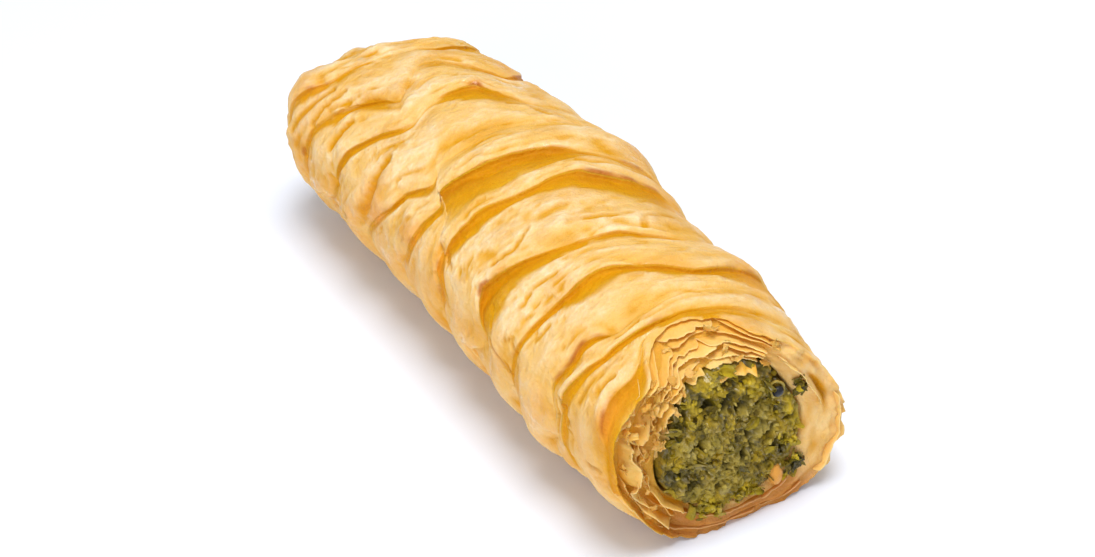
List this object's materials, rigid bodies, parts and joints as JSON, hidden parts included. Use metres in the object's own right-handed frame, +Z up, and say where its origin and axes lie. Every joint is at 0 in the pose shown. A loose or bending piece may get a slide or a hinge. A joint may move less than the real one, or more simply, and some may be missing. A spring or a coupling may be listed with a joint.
{
  "type": "spinach and feta borek half",
  "caption": "Half of a baked flaky pastry roll, pleated outside and cut across to show its spinach and feta filling.",
  "frame": {"origin": "on the floor under the middle of the roll's box", "axes": "+X along the roll from its closed end to the cut face, +Z up, +Y to the left seen from the closed end"},
  "size_m": [0.142, 0.0504, 0.0384],
  "materials": {
    "pastry_crust": "golden baked filo pastry with a faint oily sheen, amber in the pleats and browned on the lips",
    "spinach_feta_filling": "moist dark green spinach with pale crumbs of feta"
  },
  "bodies": {
    "root": {"pastry": "pastry_crust", "filling": "spinach_feta_filling"}
  },
  "joints": []
}
